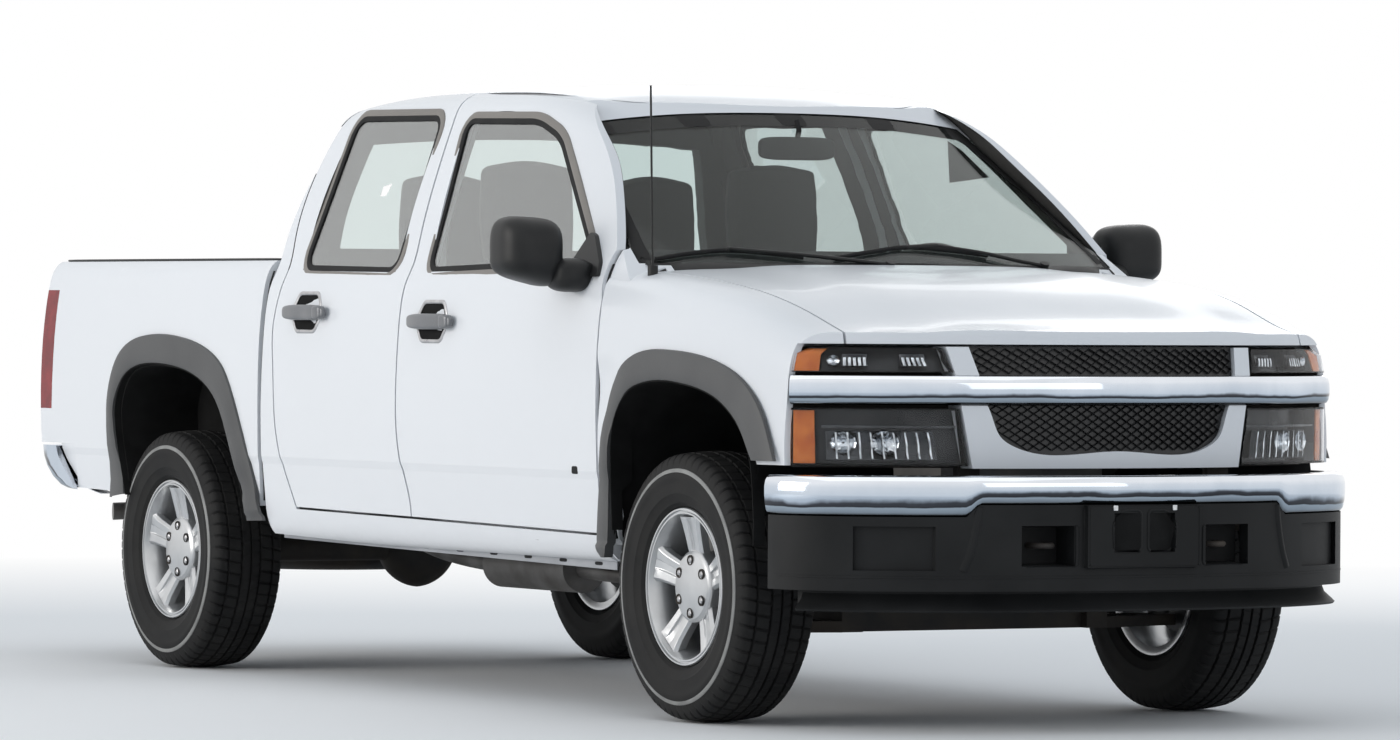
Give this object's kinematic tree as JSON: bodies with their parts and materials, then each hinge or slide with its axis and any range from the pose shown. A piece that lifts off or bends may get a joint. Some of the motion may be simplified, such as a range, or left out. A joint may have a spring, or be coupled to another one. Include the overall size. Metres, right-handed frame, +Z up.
{
  "type": "pickup truck",
  "caption": "Four-door pickup truck with a short bed, on its wheels: steering front wheels, opening doors, hood and tailgate.",
  "frame": {"origin": "on the floor under the middle of the overall length and width", "axes": "+Z up, -Y towards the nose, +X towards the truck's left side"},
  "size_m": [2.1, 5.2531, 1.7274],
  "materials": {
    "white_paint": "white gloss paint",
    "tyre": "black tyre rubber",
    "alloy": "silver painted cast aluminium",
    "glass": "lightly tinted glass",
    "chrome": "bright chrome",
    "lamp": "smoky clear lens",
    "red_lens": "red lens",
    "black_plastic": "black grained plastic",
    "dark_steel": "black chassis paint",
    "exhaust_steel": "dull exhaust steel",
    "cast_metal": "cast metal",
    "tank_plastic": "black moulded plastic",
    "seat_fabric": "dark grey woven fabric",
    "cabin_plastic": "dark grained plastic"
  },
  "bodies": {
    "root": {"frame": "dark_steel", "engine": "cast_metal", "drive_line": "dark_steel", "exhaust": "exhaust_steel", "fuel_tank": "tank_plastic", "spare_wheel": "tyre", "cab": "white_paint", "fixed_glass": "glass", "fender_left": "white_paint", "fender_right": "white_paint", "headlamps": "lamp", "nose_bar": "chrome", "grille_surround": "white_paint", "grille": "black_plastic", "radiator_support": "dark_steel", "front_bumper": "chrome", "front_fascia": "black_plastic", "rear_bumper": "chrome", "bed": "white_paint", "tail_lamps": "red_lens", "wheel_flares": "black_plastic", "front_suspension": "dark_steel", "leaf_springs": "dark_steel", "rear_axle": "dark_steel", "front_seats": "seat_fabric", "rear_bench": "seat_fabric", "dashboard": "cabin_plastic", "steering_wheel": "cabin_plastic", "antenna": "black_plastic"},
    "hood": {"hood": "white_paint"},
    "tailgate": {"tailgate": "white_paint"},
    "door_front_left": {"door_front_left": "white_paint", "door_front_glass_left": "glass", "door_front_fittings_left": "white_paint"},
    "door_rear_left": {"door_rear_left": "white_paint", "door_rear_glass_left": "glass", "door_rear_fittings_left": "white_paint"},
    "knuckle_left": {"knuckle_left": "dark_steel"},
    "wheel_front_left": {"tyre_front_left": "tyre", "rim_front_left": "alloy"},
    "wheel_rear_left": {"tyre_rear_left": "tyre", "rim_rear_left": "alloy"},
    "door_front_right": {"door_front_right": "white_paint", "door_front_glass_right": "glass", "door_front_fittings_right": "white_paint"},
    "door_rear_right": {"door_rear_right": "white_paint", "door_rear_glass_right": "glass", "door_rear_fittings_right": "white_paint"},
    "knuckle_right": {"knuckle_right": "dark_steel"},
    "wheel_front_right": {"tyre_front_right": "tyre", "rim_front_right": "alloy"},
    "wheel_rear_right": {"tyre_rear_right": "tyre", "rim_rear_right": "alloy"}
  },
  "joints": [
    {"name": "steer_left", "type": "hinge", "parent": "root", "child": "knuckle_left", "pos_m": [0.655, -1.665, 0.358], "axis": [0, 0, 1], "range_deg": [-30, 30]},
    {"name": "spin_front_left", "type": "hinge", "parent": "knuckle_left", "child": "wheel_front_left", "pos_m": [0.731, -1.665, 0.358], "axis": [1, 0, 0], "continuous": true},
    {"name": "spin_rear_left", "type": "hinge", "parent": "root", "child": "wheel_rear_left", "pos_m": [0.731, 1.535, 0.358], "axis": [1, 0, 0], "continuous": true},
    {"name": "hinge_door_front_left", "type": "hinge", "parent": "root", "child": "door_front_left", "pos_m": [0.852, -1.213, 0.8], "axis": [0, 0, -1], "range_deg": [0, 65]},
    {"name": "hinge_door_rear_left", "type": "hinge", "parent": "root", "child": "door_rear_left", "pos_m": [0.852, -0.065, 0.8], "axis": [0, 0, -1], "range_deg": [0, 65]},
    {"name": "steer_right", "type": "hinge", "parent": "root", "child": "knuckle_right", "pos_m": [-0.655, -1.665, 0.358], "axis": [0, 0, 1], "range_deg": [-30, 30]},
    {"name": "spin_front_right", "type": "hinge", "parent": "knuckle_right", "child": "wheel_front_right", "pos_m": [-0.731, -1.665, 0.358], "axis": [1, 0, 0], "continuous": true},
    {"name": "spin_rear_right", "type": "hinge", "parent": "root", "child": "wheel_rear_right", "pos_m": [-0.731, 1.535, 0.358], "axis": [1, 0, 0], "continuous": true},
    {"name": "hinge_door_front_right", "type": "hinge", "parent": "root", "child": "door_front_right", "pos_m": [-0.852, -1.213, 0.8], "axis": [0, 0, 1], "range_deg": [0, 65]},
    {"name": "hinge_door_rear_right", "type": "hinge", "parent": "root", "child": "door_rear_right", "pos_m": [-0.852, -0.065, 0.8], "axis": [0, 0, 1], "range_deg": [0, 65]},
    {"name": "hinge_hood", "type": "hinge", "parent": "root", "child": "hood", "pos_m": [0, -1.32, 1.181], "axis": [-1, 0, 0], "range_deg": [0, 50]},
    {"name": "hinge_tailgate", "type": "hinge", "parent": "root", "child": "tailgate", "pos_m": [0, 2.42, 0.777], "axis": [-1, 0, 0], "range_deg": [0, 90]}
  ],
  "couplings": [
    {"joint": "steer_right", "follows": "steer_left", "ratio": 1}
  ]
}
